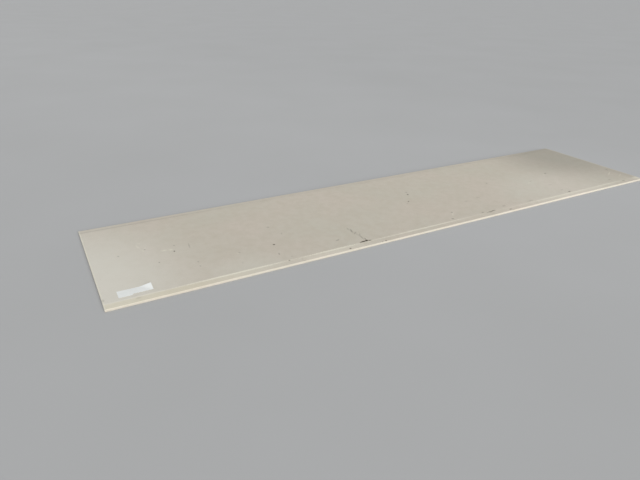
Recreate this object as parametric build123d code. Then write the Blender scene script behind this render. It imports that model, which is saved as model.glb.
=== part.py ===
from build123d import *
import os

# Gypsum wall board: one rolled and cut sheet, faced with paper, lying face up.
# Millimetres. X runs along the sheet, Y across it and Z up, out of the face.
# The origin is the middle of the flat back, which lies on the floor.

# Overall size of the sheet
sheet_length = 2600.0
sheet_width = 600.0
sheet_thickness = 9.5

# The long edges are pressed thinner, so that jointing compound fills flush with the face.
# A short steep shoulder starts the taper, and a long shallow slope runs out to the edge.
taper_width = 30.0
taper_depth = 1.4
shoulder_width = 4.0
shoulder_depth = 0.6
shoulder_bend_radius = 18.0

# The face paper is folded round each long edge, tighter at the back than at the face.
face_fold_radius = 2.2
back_fold_radius = 1.2


def right_edge_corners():
    """Corners of the section's right edge from the back up to the face, each with its bend radius."""
    edge = sheet_width / 2
    shoulder_top = edge - taper_width
    shoulder_foot = shoulder_top + shoulder_width
    return [
        ((edge, 0), back_fold_radius),
        ((edge, sheet_thickness - taper_depth), face_fold_radius),
        ((shoulder_foot, sheet_thickness - shoulder_depth), shoulder_bend_radius),
        ((shoulder_top, sheet_thickness), shoulder_bend_radius),
    ]


def sheet_section():
    """Closed section across the sheet: the right edge and its mirror image, joined by the back and the face."""
    right = right_edge_corners()
    left = [((-across, height), radius) for (across, height), radius in reversed(right)]
    corners = right + left
    outline = FilletPolyline(
        [point for point, radius in corners],
        radius=[radius for point, radius in corners],
        close=True,
    )
    return make_face(outline)


def drywall_sheet():
    """The section drawn out along the sheet, cut off square at both ends."""
    section = Plane.YZ.offset(-sheet_length / 2) * sheet_section()
    return extrude(section, amount=sheet_length)


os.makedirs("parts", exist_ok=True)
export_step(drywall_sheet(), "parts/drywall_sheet.step")
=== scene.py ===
from math import pi, radians

import bmesh
import bpy
import numpy as np
from mathutils import Matrix, Vector


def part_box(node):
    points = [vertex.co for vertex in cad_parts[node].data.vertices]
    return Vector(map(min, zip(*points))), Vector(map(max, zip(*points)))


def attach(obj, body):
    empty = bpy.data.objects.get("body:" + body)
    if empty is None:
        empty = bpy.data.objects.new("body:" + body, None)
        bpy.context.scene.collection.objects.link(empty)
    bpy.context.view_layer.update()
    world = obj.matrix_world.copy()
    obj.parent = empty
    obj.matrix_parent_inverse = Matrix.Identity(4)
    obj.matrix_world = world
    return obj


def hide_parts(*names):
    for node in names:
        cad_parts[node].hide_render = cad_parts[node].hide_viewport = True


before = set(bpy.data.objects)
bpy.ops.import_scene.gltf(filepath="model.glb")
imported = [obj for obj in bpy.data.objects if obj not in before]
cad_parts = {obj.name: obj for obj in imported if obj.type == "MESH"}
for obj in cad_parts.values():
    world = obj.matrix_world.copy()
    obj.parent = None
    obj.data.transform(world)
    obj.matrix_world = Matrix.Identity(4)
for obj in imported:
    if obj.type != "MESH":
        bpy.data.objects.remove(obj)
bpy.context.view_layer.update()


# Gypsum core
# The body of the sheet: plaster that set between two papers on the forming line, and was pressed
# thinner there along both long edges. Only the two ends, cut off square, show the plaster.

MM = 0.001

sheet_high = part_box("drywall_sheet")[1]
half_length = round(sheet_high.x, 5)
half_width = round(sheet_high.y, 5)
thickness = round(sheet_high.z, 5)

paper_thickness = 0.3 * MM
face_fold_radius = 2.2 * MM
back_fold_radius = 1.2 * MM
slope_width = 26 * MM
slope_depth = 0.8 * MM
shoulder_width = 6.6 * MM
shoulder_depth = 0.6 * MM
shoulder_top = 31.3 * MM

plaster_cloud = 25 * MM
plaster_pore = 1.2 * MM
pore_depth = 0.3 * MM

# The core's ends lie cut_setback behind the paper's. They are rough to a depth of cut_roughness,
# but not along a rim at the long edges. crumb_sizes are in millimetres.
cut_setback = 0.25 * MM
cut_roughness = 0.5 * MM
cut_smooth_rim = 3 * MM
crumb_sizes = (6, 30)
crumb_waves = 40

# How closely the mesh is divided, and from what angle an edge shows as a crease
hidden_spacing = 90 * MM
cut_spacing = 2.5 * MM
fold_places = 7
slope_places = 6
shoulder_places = 8
rows_up_the_core = 8
merged_within = 0.002 * MM
sharp_from = radians(35)

# What knocks and grit have pressed into the face: the place of each from the left front corner,
# its reach along and across the sheet, its turn in degrees and its depth, all in millimetres
hollows = {
    "knock that cracked the face": ((929.5, 35.5), (17, 5), 4, 0.8),
    "crack behind the knock, first length": ((937, 73), (3, 24), -6, 0.15),
    "crack behind the knock, second length": ((929.5, 135), (3, 20), -14, 0.12),
    "nick beside the front edge": ((848, 9.5), (4, 3), -30, 0.5),
    "grit dent": ((613, 162.5), (3, 3), 0, 0.35),
    "pit on the shoulder": ((609.5, 27.5), (3.5, 3), 0, 0.3),
    "long rub on the shoulder": ((1576.5, 32), (18, 4.5), 4, 0.5),
    "short rub on the shoulder": ((2092, 41), (7, 4), 0, 0.4),
}


def on_sheet(place):
    """A place in millimetres from the left front corner, as metres from the middle of the sheet."""
    return np.array(place) * MM - (half_length, half_width)


def smooth_step(t):
    """Goes from 0 to 1 as t does, along 3 t squared less 2 t cubed, and is level at both ends."""
    t = np.clip(t, 0, 1)
    return t * t * (3 - 2 * t)


def fold_drop(from_edge, radius):
    """How far a quarter round lies below its crown.

    It is the radius less the root of its square minus the square of what is left of it.
    """
    left = np.clip(radius - from_edge, 0, radius)
    return radius - np.sqrt(radius**2 - left**2)


def face_height(across, inset=0.0):
    """Height of the face across the sheet, or of a surface an inset below it.

    It is level in the middle. Near each long edge it goes down the shoulder by a smooth step, then
    down a straight slope to the fold, which is a quarter round.
    """
    from_edge = half_width - inset - np.abs(across)
    slope = slope_depth * np.clip(1 - from_edge / slope_width, 0, 1)
    shoulder = shoulder_depth * smooth_step((shoulder_top - from_edge) / shoulder_width)
    return thickness - inset - slope - shoulder - fold_drop(from_edge, face_fold_radius - inset)


def back_height(across, inset=0.0):
    """Height of the back across the sheet: level, with a tight quarter round at each long edge."""
    from_edge = half_width - inset - np.abs(across)
    return inset + fold_drop(from_edge, back_fold_radius - inset)


def pressed_in(along, across):
    """How far the face is pressed in.

    Each hollow is its depth times e to the minus squared distance, counted in reaches along its own
    turned axes.
    """
    depth = np.zeros(np.broadcast(along, across).shape)
    for centre, reach, turn, deepest in hollows.values():
        x, y = along - on_sheet(centre)[0], across - on_sheet(centre)[1]
        a = (x * np.cos(radians(turn)) + y * np.sin(radians(turn))) / (reach[0] * MM)
        b = (y * np.cos(radians(turn)) - x * np.sin(radians(turn))) / (reach[1] * MM)
        depth = depth + deepest * MM * np.exp(-(a**2) - b**2)
    return depth


def crumble(across, up, seed):
    """Roughness of a cut, from 0 to 1.

    It is a half and the sum of seeded waves, which differ in length and run any way, over half their
    number.
    """
    rng = np.random.default_rng(seed)
    length = rng.uniform(*crumb_sizes, crumb_waves) * MM
    heading, start = rng.uniform(0, 2 * pi, (2, crumb_waves))
    run = across[..., None] * np.cos(heading) + up[..., None] * np.sin(heading)
    waves = np.sin(2 * pi * run / length + start).sum(axis=-1)
    return np.clip(0.5 + waves / (crumb_waves / 2), 0, 1)


def stations(half_span, spacing, close_ups):
    """Places along a line, evenly spaced, with more of them in each close-up.

    A close-up is given by its middle, its reach and its spacing.
    """
    places = [np.linspace(-half_span, half_span, int(np.ceil(2 * half_span / spacing)) + 1)]
    places += [np.arange(middle - reach, middle + reach, fine) for middle, reach, fine in close_ups]
    places = np.unique(np.round(np.concatenate(places), 6))
    return places[np.abs(places) <= half_span]


def along_close_ups(places_in_reach):
    """Close-ups along the sheet, one about each hollow and three reaches to either side."""
    return [
        (on_sheet(centre)[0], 3 * reach[0] * MM, reach[0] * MM / places_in_reach)
        for centre, reach, turn, deepest in hollows.values()
    ]


def across_stations(inset, spacing, close_ups):
    """Places across the sheet.

    They are close together round the folds and down the shoulders, and wider over the level middle.
    """
    fold = (face_fold_radius - inset) * (1 - np.cos(np.linspace(0, pi / 2, fold_places)))
    slope = np.linspace(fold[-1], shoulder_top - shoulder_width, slope_places)
    shoulder = np.linspace(shoulder_top - shoulder_width, shoulder_top, shoulder_places)
    from_edge = np.unique(np.round(np.concatenate([fold, slope, shoulder]), 7))
    edge = half_width - inset
    middle = stations(half_width - shoulder_top, spacing, close_ups)
    return np.unique(np.round(np.concatenate([from_edge - edge, middle, edge - from_edge]), 7))


def patch(along, across, up):
    """A grid of corners from three arrays that fit the same grid."""
    return np.stack(np.broadcast_arrays(along, across, up), axis=-1)


def make_piece(name, patches, material):
    """A piece of the sheet from grids of corners.

    Each cell of a grid is one face, and the grids are merged along the edges that they share.
    """
    counts = np.cumsum([0] + [grid.shape[0] * grid.shape[1] for grid in patches])
    faces = []
    for start, grid in zip(counts, patches):
        number = start + np.arange(grid.shape[0] * grid.shape[1]).reshape(grid.shape[:2])
        cells = [number[:-1, :-1], number[1:, :-1], number[1:, 1:], number[:-1, 1:]]
        faces.append(np.stack(cells, axis=-1).reshape(-1, 4))
    mesh = bpy.data.meshes.new(name)
    corners = np.concatenate([grid.reshape(-1, 3) for grid in patches])
    mesh.from_pydata(corners.tolist(), [], np.concatenate(faces).tolist())
    if len(patches) > 1:
        closed = bmesh.new()
        closed.from_mesh(mesh)
        bmesh.ops.remove_doubles(closed, verts=closed.verts, dist=merged_within)
        bmesh.ops.recalc_face_normals(closed, faces=closed.faces)
        closed.to_mesh(mesh)
        closed.free()
    mesh.materials.append(material)
    mesh.shade_smooth()
    mesh.set_sharp_from_angle(angle=sharp_from)
    side_edges = np.empty(len(mesh.loops), dtype=np.int32)
    mesh.loops.foreach_get("edge_index", side_edges)
    sharp = np.empty(len(mesh.edges), dtype=bool)
    mesh.edges.foreach_get("use_edge_sharp", sharp)
    rim = np.bincount(side_edges, minlength=len(sharp)) == 1
    mesh.edges.foreach_set("use_edge_sharp", sharp | rim)
    piece = bpy.data.objects.new(name, mesh)
    bpy.context.collection.objects.link(piece)
    return piece


def linear(hex_colour):
    """An sRGB hex colour as linear red, green, blue and an alpha of 1."""
    parts = np.array([int(hex_colour[i : i + 2], 16) for i in (1, 3, 5)]) / 255
    return (*np.where(parts <= 0.04045, parts / 12.92, ((parts + 0.055) / 1.055) ** 2.4), 1.0)


def add(material, kind, inputs=None, **settings):
    """Adds a shader node with its settings, and fills its inputs.

    An input takes a number, a colour, an output to link, or a node, whose first output in use is
    linked. A mix has its share at 0, and its two colours at 6 and 7 or its two numbers at 2 and 3.
    """
    node = material.node_tree.nodes.new("ShaderNode" + kind)
    for setting, value in settings.items():
        setattr(node, setting, value)
    for name, value in (inputs or {}).items():
        if isinstance(value, bpy.types.Node):
            value = next(output for output in value.outputs if output.enabled)
        if isinstance(value, bpy.types.NodeSocket):
            material.node_tree.links.new(value, node.inputs[name])
        else:
            node.inputs[name].default_value = value
    return node


def bare_material(name):
    """A new material and its first node's output, which is the place on the piece, in metres."""
    material = bpy.data.materials.new(name)
    material.use_nodes = True
    material.node_tree.nodes.clear()
    return material, add(material, "TexCoord").outputs["Object"]


def sawn_gypsum():
    """Set gypsum plaster, cut across: off-white, dead matt and clouded, with pores about 1 mm wide."""
    gypsum, place = bare_material("sawn_set_gypsum")
    clouds = add(gypsum, "TexNoise", {"Vector": place, "Scale": 1 / plaster_cloud, "Detail": 3.0})
    pores = add(gypsum, "TexNoise", {"Vector": place, "Scale": 1 / plaster_pore, "Detail": 2.0})
    tone = add(gypsum, "Mix", {0: clouds, 6: linear("#D3CDC0"), 7: linear("#E6E2D8")}, data_type="RGBA")
    pitted = add(gypsum, "MapRange", {"Value": pores, "From Min": 0.6, "From Max": 0.72})
    tone = add(gypsum, "Mix", {0: pitted, 6: tone, 7: linear("#ADA698")}, data_type="RGBA")
    relief = add(gypsum, "Bump", {"Strength": 0.6, "Distance": pore_depth, "Height": pores})
    matt = {"Roughness": 0.92, "IOR": 1.52}
    shader = add(gypsum, "BsdfPrincipled", matt | {"Base Color": tone, "Normal": relief})
    add(gypsum, "OutputMaterial", {"Surface": shader})
    return gypsum


core_half_length = half_length - cut_setback
core_along = stations(core_half_length, hidden_spacing, along_close_ups(places_in_reach=2))
core_across = across_stations(paper_thickness, cut_spacing, [])
core_face = face_height(core_across, paper_thickness)
core_back = back_height(core_across, paper_thickness)


def core_side(up_share, side):
    """The core's surface from its back to its face along one long edge."""
    edge = side * (half_width - paper_thickness)
    low = back_height(edge, paper_thickness)
    high = face_height(edge, paper_thickness) - pressed_in(core_along, edge)
    return patch(core_along[:, None], edge, low + (high[:, None] - low) * up_share)


def core_end(up_share, side):
    """The cut end at one side: upright, with its crumble pushed in and fading out at the papers."""
    high = core_face - pressed_in(side * core_half_length, core_across)
    up = core_back[:, None] + (high - core_back)[:, None] * up_share
    across = np.broadcast_to(core_across[:, None], up.shape)
    from_edge = core_across[-1] - np.abs(across)
    held = 4 * up_share * (1 - up_share) * smooth_step(from_edge / cut_smooth_rim)
    away = cut_roughness * crumble(across, up, seed=7 + side) * held
    return patch(side * (core_half_length - away), across, up)


core_rows, core_columns = core_along[:, None], core_across[None, :]
up_shares = np.linspace(0, 1, rows_up_the_core)
gypsum_core = make_piece(
    "gypsum_core",
    [
        patch(core_rows, core_columns, core_face - pressed_in(core_rows, core_columns)),
        patch(core_rows, core_columns, core_back),
        core_side(up_shares, -1),
        core_side(up_shares, 1),
        core_end(up_shares, -1),
        core_end(up_shares, 1),
    ],
    sawn_gypsum(),
)
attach(gypsum_core, "root")
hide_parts("drywall_sheet")


# Face paper
# Ivory paper over the face, rolled round both long edges and turned in under the back, where the
# back liner meets it. It is glued to the plaster all over, and cut through with it at the ends.

flap_width = 22 * MM
cut_fray = 0.35 * MM
paper_cloud = 300 * MM
paper_mottle = 28 * MM
fibre_length = 6 * MM
fibre_width = 2 * MM
nap_depth = 0.15 * MM

face_spacing = 16 * MM
back_fold_places = 5
flap_places = 4
upright_places = 5

# All but the dark marks fade out down the fold, from mark_top to mark_foot above the back, and no
# mark reaches more than mark_reach_down below the face. Those that only the taper has begin at
# taper_begins below the face, and are full at taper_full.
mark_top = 7.8 * MM
mark_foot = 6 * MM
mark_reach_down = 6 * MM
mark_grain = 5 * MM
taper_begins = 0.2 * MM
taper_full = 0.7 * MM

# What covers, stains or rubs the paper, and where light and shade are painted on it: the place of each
# mark from the left front corner and its reach along and across the sheet, in millimetres, its turn in
# degrees, and its strength from 0 to 1
plaster_dust = {
    "film from cutting the left end": ((-100, 123.5), (600, 780), 0, 0.59),
    "thin film by the left shoulder": ((427.5, 50), (290, 130), 0, 0.17),
    "film towards the right": ((2085.5, 126), (540, 320), 0, 0.2),
}
# Paper gone yellow in the front taper, beyond what the face above it has
yellowing = {
    "left of the taper": ((62, 12), (650, 300), 0, 0.3),
}
# Painted light: the front taper drawn paler, where it tilts toward the front light
painted_taper_light = {
    "left": ((437.5, 12), (300, 300), 0, 0.18),
    "left of the knock": ((770.5, 12), (240, 300), 0, 0.32),
    "towards the right": ((2064, 12), (420, 300), 0, 0.22),
}
# Painted shade: the right end and its front corner drawn darker, for the shade that falls on that end
painted_shade = {
    "shade over the right end": ((2580, 495), (640, 660), 0, 0.42),
    "right front corner": ((2615, 147), (150, 260), 0, 0.32),
}
# Paper rubbed, scratched or torn to its paler inside. The lines along the front shoulder and the left
# arris are rubbed paper and also a painted highlight where they face the light.
pale_rubs_and_highlights = {
    # rubbed paper, with a painted highlight where the arris catches the light
    "arris of the left end": ((0, 238.5), (6, 2600), 0, 0.9),
    "arris of the right end": ((2600, 341), (10, 2600), 0, 0.3),
    "right corner": ((2590, 18.5), (50, 30), 0, 0.5),
    # the shoulder lines are rubbed paper, with a painted highlight where the shoulder faces the front
    # light
    "shoulder, by the label": ((145.5, 29), (80, 6), 0, 0.3),
    "shoulder, left": ((417.5, 28.5), (300, 7), 0, 0.8),
    "shoulder, beside the knock": ((781, 28.5), (190, 7), 0, 0.75),
    "lip of torn paper before the knock": ((937.5, 23), (12, 6), 0, 0.35),
    "shoulder, middle": ((1202, 28), (340, 7), 0, 0.52),
    "shoulder, right": ((2025, 27.5), (420, 8), 0, 0.5),
    "shoulder, far right": ((2329.5, 28), (220, 8), 0, 0.4),
    "streak, left half": ((247, 294.5), (15, 9), -8, 0.55),
    "streak, right half": ((269.5, 289.5), (13, 8), -8, 0.5),
    "scratch, back end": ((169.5, 364), (5, 26), 10, 0.4),
    "scratch, front end": ((180.5, 324), (5, 12), 20, 0.35),
    "scratch, side chip": ((191, 344), (5, 8), 0, 0.35),
    "patch behind the scratch": ((178.5, 391), (9, 9), 0, 0.25),
    "pale side of a dot": ((470.5, 157), (4, 10), 0, 0.2),
    "broad streak": ((2011.5, 210), (20, 6), 20, 0.4),
    "scratch across": ((1404, 84), (5, 40), -42, 0.3),
    "pale side of a stroke": ((2181.5, 263.5), (16, 8), 30, 0.25),
    "scrape by the right end": ((2517, 126.5), (5, 50), -62, 0.35),
    "second scrape by the right end": ((2547.5, 85.5), (5, 40), -62, 0.25),
}
# Dark marks in the knock, along the crack and in the dents, specks and strokes on the face, and painted
# shade in the far shoulder
dark_marks = {
    "knock, left tail": ((907.5, 32), (11, 4.5), 15, 0.6),
    "knock, left wing": ((921, 35.5), (22, 6.5), 8, 1.0),
    "knock, middle": ((937, 37.5), (11, 8.5), 0, 1.0),
    "knock, right wing": ((947.5, 33.5), (10, 5), -12, 0.9),
    "crack, foot": ((939.5, 52), (4, 13), -15, 0.5),
    "crack, first length": ((934.5, 69.5), (5.5, 36), -6, 0.3),
    "crack, thin stretch": ((941, 91.5), (4.5, 20), -30, 0.22),
    "crack, jog": ((932, 111), (5, 19), -50, 0.33),
    "crack, second length": ((930, 134), (5.5, 27), -16, 0.42),
    "crack, head": ((927, 155.5), (5.5, 18), -10, 0.23),
    "crack, whole length": ((932, 105), (8, 85), 6, 0.1),
    "nick beside the edge": ((848, 10.5), (6.5, 7), -10, 0.84),
    "dot beside the edge": ((1002.5, 5.5), (5.5, 5.5), 0, 0.86),
    "faint dot beside the edge": ((986.5, 4.5), (5.5, 5), 0, 0.42),
    "grit dent": ((613, 162.5), (7, 8), 0, 0.85),
    "pit on the shoulder": ((609.5, 27.5), (5.5, 5.5), 0, 0.6),
    "long rub, left half": ((1566.5, 30.5), (20, 6.5), 2, 0.6),
    "long rub, right half": ((1586.5, 33), (20, 6.5), 6, 0.6),
    "dot left of the long rub": ((1548.5, 28.5), (8, 6), 0, 0.3),
    "short rub": ((2092, 41), (12, 8.5), 0, 0.65),
    "smudge before the knock": ((840.5, 88.5), (14, 6), 14, 0.38),
    "smudge on the left arris": ((3, 52), (8, 14), 0, 0.2),
    "smudge by the label": ((95.5, 38), (16, 8), 0, 0.07),
    "smudge on the taper by the label": ((101.5, 21.5), (15, 7), 0, 0.16),
    "speck near the left end": ((277.5, 273), (4.5, 9), -10, 0.75),
    "speck behind it": ((288.5, 318.5), (4.5, 7), -10, 0.32),
    "hair beside it": ((336.5, 293.5), (4, 28), -8, 0.26),
    "foot of the hair": ((333.5, 275), (4, 8), 0, 0.16),
    "speck in the left middle": ((210.5, 214.5), (4, 8), 0, 0.36),
    "speck on the scratch": ((188, 332.5), (5, 7), 0, 0.3),
    "dot at the left": ((96, 321), (5, 8), 0, 0.3),
    "pair of dots, back": ((328.5, 160), (4.5, 7), 0, 0.3),
    "pair of dots, front": ((326, 128), (4.5, 7), 0, 0.24),
    "dot with a pale side": ((478.5, 160.5), (6, 6), 0, 0.3),
    "dot over the shoulder": ((460, 84.5), (6, 10), -20, 0.1),
    "dot before the grit dent": ((598.5, 87), (4.5, 12), -20, 0.36),
    "fleck behind the shoulder": ((631, 49.5), (7, 6), 0, 0.14),
    "fleck on the taper": ((655, 17.5), (6, 7), -20, 0.16),
    "fleck beside the edge": ((656, 4), (10, 5), 0, 0.14),
    "smudge behind the grit dent": ((654, 309), (9, 9), 0, 0.25),
    "dot right of the grit dent": ((678, 234.5), (5, 10), -20, 0.22),
    "stroke in the middle": ((1321.5, 280), (6, 13), -45, 0.56),
    "fleck before that": ((1303, 264.5), (5, 8), -45, 0.2),
    "stroke behind it": ((1372, 350.5), (7, 12), -30, 0.66),
    "grey patch behind that": ((1382, 375), (9, 14), -25, 0.2),
    "dot at the scratch's foot": ((1369, 45.5), (8, 8), 20, 0.5),
    "dot at the scratch's head": ((1412, 98.5), (6, 8), -30, 0.45),
    "faint smudge, left": ((1556, 167.5), (13, 9), 0, 0.14),
    "faint smudge, right": ((1638, 178), (13, 9), 0, 0.14),
    "dot before the long rub": ((1530, 39), (8, 5), 0, 0.48),
    "smudge over the shoulder": ((1668, 51.5), (16, 8), 10, 0.22),
    "smudge on the taper": ((1670.5, 13.5), (14, 6), 14, 0.45),
    "grey patch over the shoulder": ((1826, 41.5), (26, 8), 0, 0.18),
    "stroke behind that": ((1815, 300.5), (7, 10), -40, 0.24),
    "stroke towards the right": ((2206.5, 275.5), (9, 14), -45, 0.4),
    "faint patch before it": ((2077, 72), (14, 9), 0, 0.19),
    "faint patch behind it": ((2086, 146.5), (18, 9), 0, 0.12),
    "stroke by the streak": ((2040, 225.5), (16, 5), 20, 0.2),
    "dark patch by the right end": ((2430, 65), (16, 9), 0, 0.19),
    "dark stroke by the right end": ((2562, 172.5), (8, 22), -30, 0.27),
    "dark corner of the taper": ((2483, 24.5), (16, 6), 0, 0.35),
    # painted shade where the far shoulder tilts away from the light
    "painted shade in the far shoulder": ((120, 574), (700, 9), 0, 0.13),
}


def paper_path(along_face):
    """The paper's path across the sheet.

    It goes from under one long edge up round its folds, over the face, and down under the other.
    Also gives 1 where the path is on the face and 0 elsewhere.
    """
    fold = back_fold_radius * (1 - np.cos(np.linspace(0, pi / 2, back_fold_places)))
    under = np.concatenate([fold, np.linspace(fold[-1], flap_width, flap_places)[1:]]) - half_width
    upright = np.linspace(back_fold_radius, face_height(half_width), upright_places)[1:-1]
    edge = np.full(len(upright), half_width)
    across = np.concatenate([under[::-1], -edge, along_face, edge, -under])
    up = np.concatenate(
        [back_height(under)[::-1], upright, face_height(along_face), upright[::-1], back_height(under)]
    )
    beside = np.zeros(len(under) + len(upright))
    return across, up, np.concatenate([beside, np.ones(len(along_face)), beside])


def board_paper():
    """Board paper from recycled stock, calendered: ivory and matt, mottled, with faint wide clouds."""
    paper, place = bare_material("calendered_ivory_board_paper")
    clouds = add(paper, "TexNoise", {"Vector": place, "Scale": 1 / paper_cloud, "Detail": 2.0})
    mottle = add(paper, "TexNoise", {"Vector": place, "Scale": 1 / paper_mottle, "Detail": 5.0})
    # Fibres are under 0.1 mm wide on the real paper, and are drawn 2 mm wide and 6 mm long to show.
    along_fibres = (1 / fibre_length, 1 / fibre_width, 1 / fibre_width)
    drawn_out = add(paper, "Mapping", {"Vector": place, "Scale": along_fibres})
    fibres = add(paper, "TexNoise", {"Vector": drawn_out, "Scale": 1.0, "Detail": 3.0})
    clouded = add(paper, "MapRange", {"Value": clouds, "From Min": 0.35, "From Max": 0.65})
    tone = add(paper, "Mix", {0: clouded, 6: linear("#C9C4B6"), 7: linear("#CDC4B7")}, data_type="RGBA")
    darker = {"From Min": 0.35, "From Max": 0.75, "To Max": 0.7}
    mottled = add(paper, "MapRange", darker | {"Value": mottle})
    tone = add(paper, "Mix", {0: mottled, 6: tone, 7: linear("#C3BBAB")}, data_type="RGBA")
    darker = {"From Min": 0.5, "From Max": 0.8, "To Max": 0.35}
    fibrous = add(paper, "MapRange", darker | {"Value": fibres})
    tone = add(paper, "Mix", {0: fibrous, 6: tone, 7: linear("#B8B09F")}, data_type="RGBA")

    # How far a place lies on top, and how far it is sunk in a taper, both from 0 to 1.
    height = add(paper, "SeparateXYZ", {0: place}).outputs[2]
    lying = add(paper, "MapRange", {"Value": height, "From Min": mark_foot, "From Max": mark_top})
    sunk = {"From Min": thickness - taper_begins, "From Max": thickness - taper_full}
    sunk = add(paper, "MapRange", sunk | {"Value": height})
    in_taper = add(paper, "Math", {0: lying, 1: sunk}, operation="MULTIPLY")

    # Each mark is strongest at its centre and gone at its reach, and it fades out below the face.
    # Noise makes the edges of the sharper ones uneven.
    grain = add(paper, "TexNoise", {"Vector": place, "Scale": 1 / mark_grain, "Detail": 2.0})
    # Each group has its colour: stains, dust and rubs, and also painted shade and painted light
    for marks, mark_colour, unevenness, held in (
        (plaster_dust, "#E6E4DA", 0.1, lying),
        (yellowing, "#DFD5B1", 0.1, in_taper),
        # painted light on the front taper
        (painted_taper_light, "#E8E2D2", 0.3, in_taper),
        # painted shade over the right end
        (painted_shade, "#7A7A71", 0.1, lying),
        # rubs and scratches, with a painted highlight on the shoulder and the left arris
        (pale_rubs_and_highlights, "#E6E2D1", 0.6, lying),
        (dark_marks, "#403729", 0.5, 1.0),
    ):
        shake = {"Value": grain, "From Min": 0.25, "From Max": 0.75}
        shake = add(paper, "MapRange", shake | {"To Min": -unevenness / 2, "To Max": unevenness / 2})
        worst = 0.0
        for centre, reach, turn, strength in marks.values():
            lay = {"Location": (*on_sheet(centre), thickness), "Rotation": (0, 0, radians(turn))}
            lay = lay | {"Vector": place, "Scale": (reach[0] * MM, reach[1] * MM, mark_reach_down)}
            lay = add(paper, "Mapping", lay, vector_type="TEXTURE")
            ball = add(paper, "TexGradient", {"Vector": lay}, gradient_type="SPHERICAL")
            edge = add(paper, "Math", {0: ball.outputs["Fac"], 1: shake}, operation="ADD")
            mark = {"Value": edge, "From Min": 0.1, "From Max": 0.8, "To Max": strength}
            mark = add(paper, "MapRange", mark, interpolation_type="SMOOTHSTEP")
            worst = add(paper, "Math", {0: mark, 1: worst}, operation="MAXIMUM")
        worst = add(paper, "Math", {0: worst, 1: held}, operation="MULTIPLY")
        tone = add(paper, "Mix", {0: worst, 6: tone, 7: linear(mark_colour)}, data_type="RGBA")

    nap = add(paper, "Mix", {0: 0.5, 2: mottle, 3: fibres})
    relief = add(paper, "Bump", {"Strength": 0.3, "Distance": nap_depth, "Height": nap})
    sheen = add(paper, "MapRange", {"Value": mottle, "To Min": 0.88, "To Max": 0.7})
    finish = {"Base Color": tone, "Roughness": sheen, "IOR": 1.47, "Normal": relief}
    shader = add(paper, "BsdfPrincipled", finish)
    add(paper, "OutputMaterial", {"Surface": shader})
    return paper


# Across the sheet there are close-ups about the knock and rubs behind the shoulder, and the grit dent
face_close_ups = [
    (on_sheet((0, 34))[1], 12 * MM, 2 * MM),
    (on_sheet((0, 162.5))[1], 8 * MM, 1.5 * MM),
]
paper_along = stations(half_length, face_spacing, along_close_ups(places_in_reach=3))
face_across = across_stations(0.0, face_spacing, face_close_ups)
paper_across, paper_up, on_face = paper_path(face_across)
paper_rows, paper_columns = paper_along[:, None], paper_across[None, :]
frayed = cut_fray * crumble(paper_columns, paper_up[None, :], seed=21)
paper_rows = np.clip(paper_rows, frayed - half_length, half_length - frayed)
face_paper = make_piece(
    "face_paper",
    [patch(paper_rows, paper_columns, paper_up - on_face * pressed_in(paper_rows, paper_columns))],
    board_paper(),
)
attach(face_paper, "root")
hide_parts("drywall_sheet")
wall = face_paper.modifiers.new("paper_thickness", "SOLIDIFY")
wall.thickness = paper_thickness
wall.offset = -1


# Back liner
# Grey-brown paper made from waste board, glued over the back. It is drawn edge to edge with the
# turned-in face paper, because the real overlap is no thicker than the paper.

liner_gap = 0.3 * MM
liner_spacing = 60 * MM
liner_cloud = 70 * MM
liner_fibre_length = 10 * MM


def grey_liner():
    """Uncoated liner: darker and rougher than the face paper, cloudy, with longer fibres."""
    liner, place = bare_material("uncoated_grey_liner")
    clouds = add(liner, "TexNoise", {"Vector": place, "Scale": 1 / liner_cloud, "Detail": 4.0})
    # Fibres are drawn as wide as on the face paper, and 10 mm long.
    along_fibres = (1 / liner_fibre_length, 1 / fibre_width, 1 / fibre_width)
    drawn_out = add(liner, "Mapping", {"Vector": place, "Scale": along_fibres})
    fibres = add(liner, "TexNoise", {"Vector": drawn_out, "Scale": 1.0, "Detail": 4.0})
    tone = add(liner, "Mix", {0: clouds, 6: linear("#A69C89"), 7: linear("#B7AE9D")}, data_type="RGBA")
    fibrous = add(liner, "MapRange", {"Value": fibres, "From Min": 0.5, "From Max": 0.8, "To Max": 0.6})
    tone = add(liner, "Mix", {0: fibrous, 6: tone, 7: linear("#877E6D")}, data_type="RGBA")
    relief = add(liner, "Bump", {"Strength": 0.3, "Distance": nap_depth, "Height": fibres})
    finish = {"Base Color": tone, "Roughness": 0.88, "IOR": 1.47, "Normal": relief}
    shader = add(liner, "BsdfPrincipled", finish)
    add(liner, "OutputMaterial", {"Surface": shader})
    return liner


liner_edge = half_width - flap_width - liner_gap
liner_along = stations(half_length, liner_spacing, [])[:, None]
liner_across = stations(liner_edge, liner_spacing, [])[None, ::-1]
back_liner = make_piece("back_liner", [patch(liner_along, liner_across, 0.0)], grey_liner())
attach(back_liner, "root")
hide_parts("drywall_sheet")
wall = back_liner.modifiers.new("paper_thickness", "SOLIDIFY")
wall.thickness = paper_thickness
wall.offset = -1


# Label
# A bare white paper sticker near the left end. Its far right corner has come unstuck and curls up
# off the face, and a strip has torn off along the near edge of its right part.

label_length = 105 * MM
label_width = 40 * MM
label_centre = (100.2, 65.4)
label_turn = radians(-0.4)
label_thickness = 0.12 * MM
label_places = (79, 21)
label_cloud = 30 * MM
label_fibre = 2 * MM
label_nap = 0.1 * MM

torn_off = 6.5 * MM
tear_wander = 0.8 * MM
tear_wave = 9 * MM

# Where the tear and the curl begin and how long they take to be full, in shares of the label's
# length, and how much nearer to the left end the curl begins at the far side
tear_begins = 0.38
tear_run = 0.05
curl_begins = 0.95
curl_run = 0.45
curl_slant = 0.35
label_lift = 6.5 * MM


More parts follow.
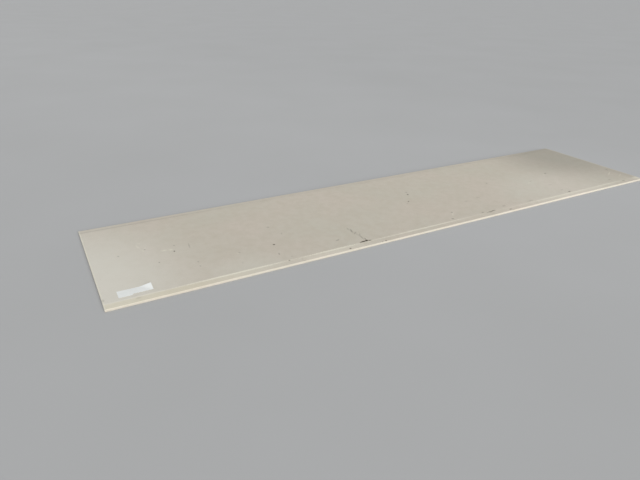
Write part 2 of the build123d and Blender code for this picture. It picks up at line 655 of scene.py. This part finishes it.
def label_paper():
    """Bleached paper, lightly coated: clean white, smoother than board paper, faintly clouded grey."""
    sticker, place = bare_material("coated_white_label_paper")
    clouds = add(sticker, "TexNoise", {"Vector": place, "Scale": 1 / label_cloud, "Detail": 3.0})
    fibres = add(sticker, "TexNoise", {"Vector": place, "Scale": 1 / label_fibre, "Detail": 3.0})
    tone = add(sticker, "Mix", {0: clouds, 6: linear("#E2E5E2"), 7: linear("#F6F8F6")}, data_type="RGBA")
    relief = add(sticker, "Bump", {"Strength": 0.2, "Distance": label_nap, "Height": fibres})
    finish = {"Base Color": tone, "Roughness": 0.55, "IOR": 1.5, "Normal": relief}
    shader = add(sticker, "BsdfPrincipled", finish)
    add(sticker, "OutputMaterial", {"Surface": shader})
    return sticker


def label_surface():
    """A turned rectangle on the face, torn narrower past a short smooth step.

    The torn edge wanders as a sine wave. The far right corner rises by a smooth step from a slanted
    line.
    """
    right = np.linspace(0, 1, label_places[0])[:, None]
    far = np.linspace(0, 1, label_places[1])[None, :]
    wander = tear_wander * np.sin(2 * pi * right * label_length / tear_wave)
    near_edge = (torn_off + wander) * smooth_step((right - tear_begins) / tear_run)
    x = (right - 0.5) * label_length
    y = near_edge + far * (label_width - near_edge) - label_width / 2
    centre = on_sheet(label_centre)
    along = centre[0] + x * np.cos(label_turn) - y * np.sin(label_turn)
    across = centre[1] + x * np.sin(label_turn) + y * np.cos(label_turn)
    risen = smooth_step((right + curl_slant * far - curl_begins) / curl_run)
    return patch(along, across, thickness + label_lift * risen)


label = make_piece("label", [label_surface()], label_paper())
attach(label, "root")
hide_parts("drywall_sheet")
wall = label.modifiers.new("label_thickness", "SOLIDIFY")
wall.thickness = label_thickness
wall.offset = 1


# Floor, lights and camera
# A plain pale floor, soft light from the front and low from the right, with fill from above and
# behind, and the photograph's viewing angle.

floor_reach = 150.0
screed_cloud = 0.8


def pale_floor():
    """Sealed screed: pale grey and matt, faintly clouded."""
    screed, place = bare_material("pale_sealed_screed")
    clouds = add(screed, "TexNoise", {"Vector": place, "Scale": 1 / screed_cloud, "Detail": 3.0})
    tone = add(screed, "Mix", {0: clouds, 6: linear("#B3B4B4"), 7: linear("#BABBBC")}, data_type="RGBA")
    matt = {"Roughness": 0.9, "IOR": 1.5, "Specular IOR Level": 0.3}
    shader = add(screed, "BsdfPrincipled", matt | {"Base Color": tone})
    add(screed, "OutputMaterial", {"Surface": shader})
    return screed


floor_corners = floor_reach * np.array([(-1, -1, 0), (1, -1, 0), (1, 1, 0), (-1, 1, 0)])
floor_mesh = bpy.data.meshes.new("floor")
floor_mesh.from_pydata(floor_corners.tolist(), [], [(0, 1, 2, 3)])
floor_mesh.materials.append(pale_floor())
floor = bpy.data.objects.new("floor", floor_mesh)
bpy.context.collection.objects.link(floor)


def lamp(name, kind, place, aim, strength, **settings):
    """A lamp of that kind at a place, turned to face an aim."""
    light = bpy.data.lights.new(name, kind)
    light.energy = strength
    for setting, value in settings.items():
        setattr(light, setting, value)
    holder = bpy.data.objects.new(name, light)
    holder.location = place
    holder.rotation_euler = (Vector(aim) - Vector(place)).to_track_quat("-Z", "Y").to_euler()
    bpy.context.collection.objects.link(holder)


middle = (0, 0, 0)
right_front_edge = (0.9, -0.3, 0)
lamp("front_sky", "SUN", place=(0.2, -4, 1.95), aim=middle, strength=2.9, angle=radians(36))
window = {"size": 1.8, "spread": radians(8)}
lamp("low_right_window", "AREA", place=(7.8, -21.9, 3.0), aim=right_front_edge, strength=3.5, **window)
lamp("back_fill", "SUN", place=(-1, 4, 3), aim=middle, strength=0.5, angle=radians(70))

studio = bpy.data.worlds.new("studio")
studio.use_nodes = True
studio.node_tree.nodes["Background"].inputs["Color"].default_value = linear("#F3F4F5")
studio.node_tree.nodes["Background"].inputs["Strength"].default_value = 0.37
bpy.context.scene.world = studio
bpy.context.scene.view_settings.view_transform = "Standard"

camera_place = (-1.3901, -1.7059, 0.8723)
camera_yaw = radians(29.76)
camera_pitch = radians(26.16)
camera_roll = radians(1.31)
focal_length_pixels = 523.5
picture_width_pixels = 640.0
sensor_width = 36.0

lens = bpy.data.cameras.new("camera")
lens.sensor_width = sensor_width
lens.lens = sensor_width * focal_length_pixels / picture_width_pixels
camera = bpy.data.objects.new("camera", lens)
camera.matrix_world = (
    Matrix.Translation(camera_place)
    @ Matrix.Rotation(-camera_yaw, 4, "Z")
    @ Matrix.Rotation(pi / 2 - camera_pitch, 4, "X")
    @ Matrix.Rotation(camera_roll, 4, "Z")
)
bpy.context.collection.objects.link(camera)
bpy.context.scene.camera = camera
